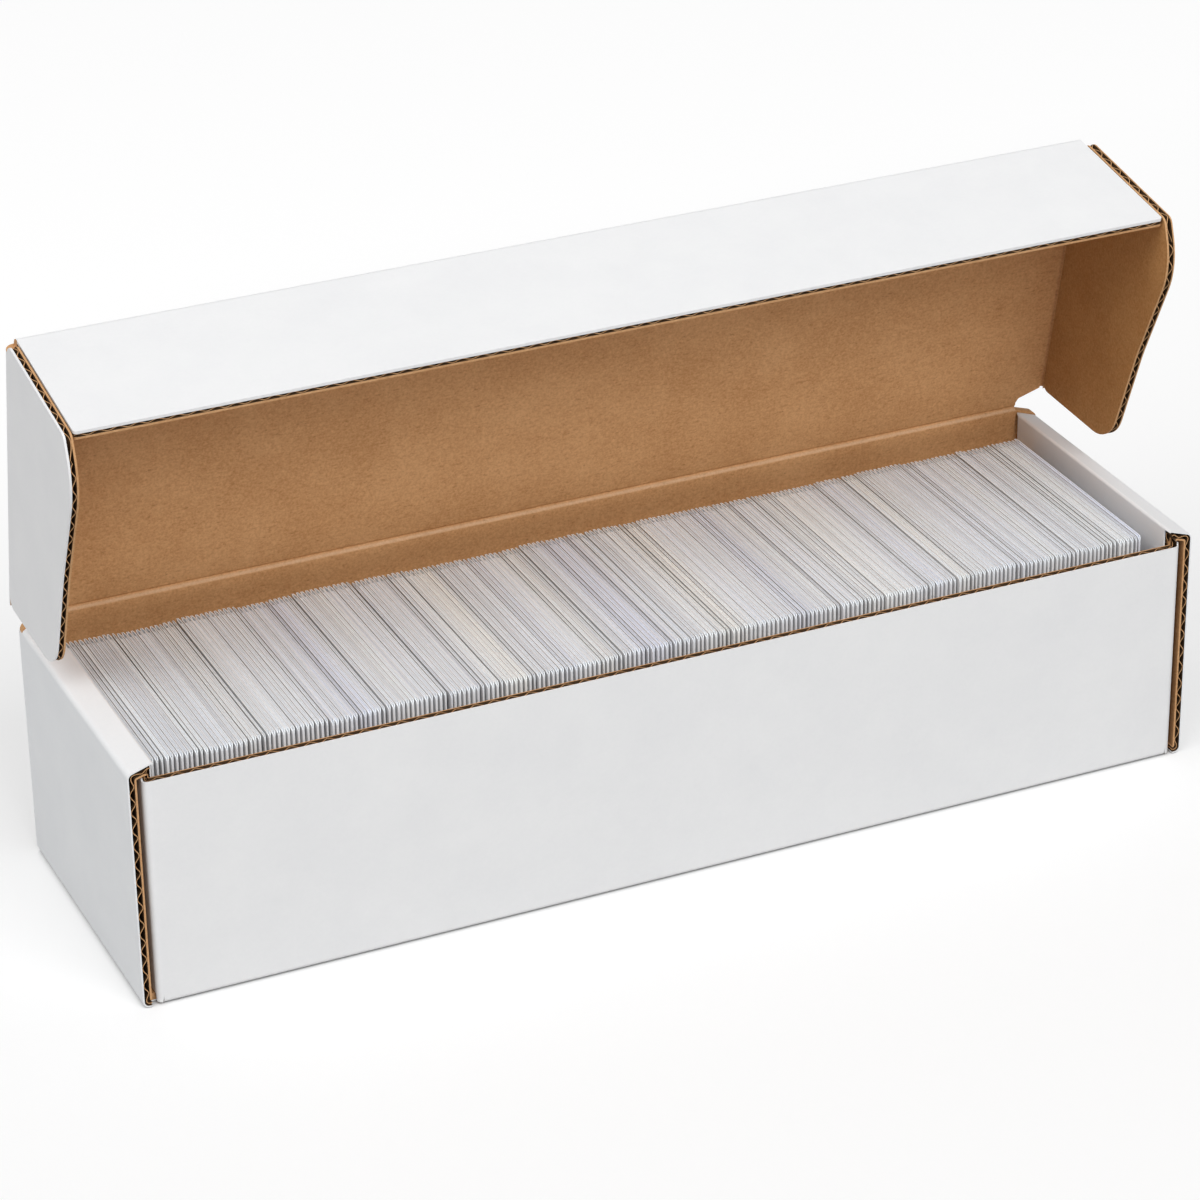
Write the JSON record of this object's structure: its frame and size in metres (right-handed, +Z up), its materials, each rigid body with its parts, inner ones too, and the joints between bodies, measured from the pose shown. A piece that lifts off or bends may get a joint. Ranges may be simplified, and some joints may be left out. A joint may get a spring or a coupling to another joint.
{
  "type": "card storage box",
  "caption": "Long white corrugated card storage box with roll-over ends and a hinged lid with a front flap and curved side ears, open over a full row of cards.",
  "frame": {"origin": "centre of the tray's footprint, on the surface it stands on", "axes": "+X along the row of cards, +Y from the front wall to the hinged back wall, +Z up"},
  "size_m": [0.3912, 0.11, 0.2002],
  "materials": {
    "board": "matte",
    "cards": "satin"
  },
  "bodies": {
    "box": {"base_panel": "board", "front_wall": "board", "back_wall": "board", "left_outer_end_wall": "board", "right_outer_end_wall": "board", "left_top_band": "board", "right_top_band": "board", "left_inner_end_wall": "board", "right_inner_end_wall": "board", "front_left_corner_flap": "board", "front_right_corner_flap": "board", "rear_left_corner_flap": "board", "rear_right_corner_flap": "board", "lid_crease": "board"},
    "lid": {"lid_panel": "board", "flap_crease": "board", "left_ear_crease": "board", "right_ear_crease": "board"},
    "flap": {"lid_front_flap": "board"},
    "left_ear": {"left_ear": "board"},
    "right_ear": {"right_ear": "board"},
    "card_row": {"card_pack_01": "cards", "card_pack_02": "cards", "card_pack_03": "cards", "card_pack_04": "cards", "card_pack_05": "cards", "card_pack_06": "cards", "card_pack_07": "cards", "card_pack_08": "cards", "card_pack_09": "cards", "card_pack_10": "cards"}
  },
  "joints": [
    {"name": "lid_hinge", "type": "hinge", "parent": "box", "child": "lid", "pos_m": [0, 0.0535, 0.0903], "axis": [-1, 0, 0], "range_deg": [-78, 102]},
    {"name": "flap_fold", "type": "hinge", "parent": "lid", "child": "flap", "pos_m": [0, 0.03046, 0.19868], "axis": [-1, 0, 0], "range_deg": [-3, 87]},
    {"name": "left_ear_fold", "type": "hinge", "parent": "lid", "child": "left_ear", "pos_m": [-0.1941, 0.0535, 0.0903], "axis": [0, 0.2079, -0.9781], "range_deg": [0, 90]},
    {"name": "right_ear_fold", "type": "hinge", "parent": "lid", "child": "right_ear", "pos_m": [0.1941, 0.0535, 0.0903], "axis": [0, -0.2079, 0.9781], "range_deg": [0, 90]},
    {"name": "card_row_slide", "type": "slide", "parent": "box", "child": "card_row", "axis": [1, 0, 0], "range_m": [-0.0008, 0.0062]}
  ]
}
